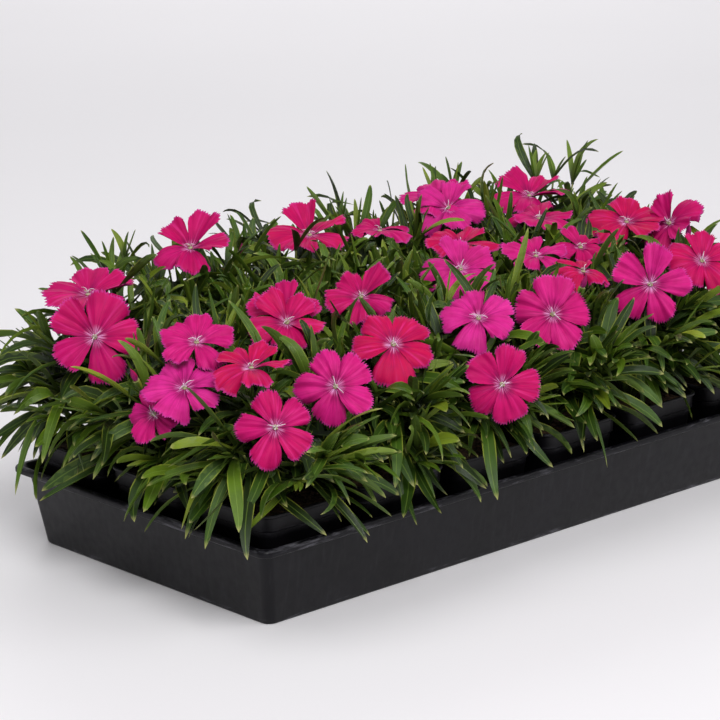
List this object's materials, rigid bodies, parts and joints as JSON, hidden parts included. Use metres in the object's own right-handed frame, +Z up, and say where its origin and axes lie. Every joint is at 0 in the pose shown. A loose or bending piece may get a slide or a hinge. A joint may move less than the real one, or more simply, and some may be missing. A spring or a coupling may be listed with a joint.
{
  "type": "dianthus plants in a bedding tray",
  "caption": "Low bedding plants with narrow leaves and toothed magenta flowers, rooted in the square soil cells of an insert that stands in a shallow rectangular nursery tray.",
  "frame": {"origin": "middle of the tray's flat underside", "axes": "+X along the tray's long side, +Y across it, +Z up"},
  "size_m": [0.6406, 0.3468, 0.2302],
  "materials": {
    "tray_plastic": "vacuum-formed black plastic, satin, lightly scuffed",
    "insert_plastic": "thin vacuum-formed black plastic, satin",
    "peat": "damp peat substrate, crumbly",
    "leaf": "fresh leaf with a thin wax bloom",
    "petal": "velvety petal"
  },
  "bodies": {
    "root": {"tray": "tray_plastic", "cell_insert": "insert_plastic", "soil_1a": "peat", "soil_1b": "peat", "soil_1c": "peat", "soil_2a": "peat", "soil_2b": "peat", "soil_2c": "peat", "soil_3a": "peat", "soil_3b": "peat", "soil_3c": "peat", "soil_4a": "peat", "soil_4b": "peat", "soil_4c": "peat", "soil_5a": "peat", "soil_5b": "peat", "soil_5c": "peat", "soil_6a": "peat", "soil_6b": "peat", "soil_6c": "peat", "foliage_row_1": "leaf", "foliage_row_2": "leaf", "foliage_row_3": "leaf", "foliage_row_4": "leaf", "foliage_row_5": "leaf", "foliage_row_6": "leaf", "bloom_01": "petal", "bloom_02": "petal", "bloom_03": "petal", "bloom_04": "petal", "bloom_05": "petal", "bloom_06": "petal", "bloom_07": "petal", "bloom_08": "petal", "bloom_09": "petal", "bloom_10": "petal", "bloom_11": "petal", "bloom_12": "petal", "bloom_13": "petal", "bloom_14": "petal", "bloom_15": "petal", "bloom_16": "petal", "bloom_17": "petal", "bloom_18": "petal", "bloom_19": "petal", "bloom_20": "petal", "bloom_21": "petal", "bloom_22": "petal", "bloom_23": "petal", "bloom_24": "petal", "bloom_25": "petal", "bloom_26": "petal", "bloom_27": "petal", "bloom_28": "petal", "bloom_29": "petal", "bloom_30": "petal", "bloom_31": "petal", "bloom_32": "petal", "bloom_33": "petal", "bloom_34": "petal"}
  },
  "joints": []
}
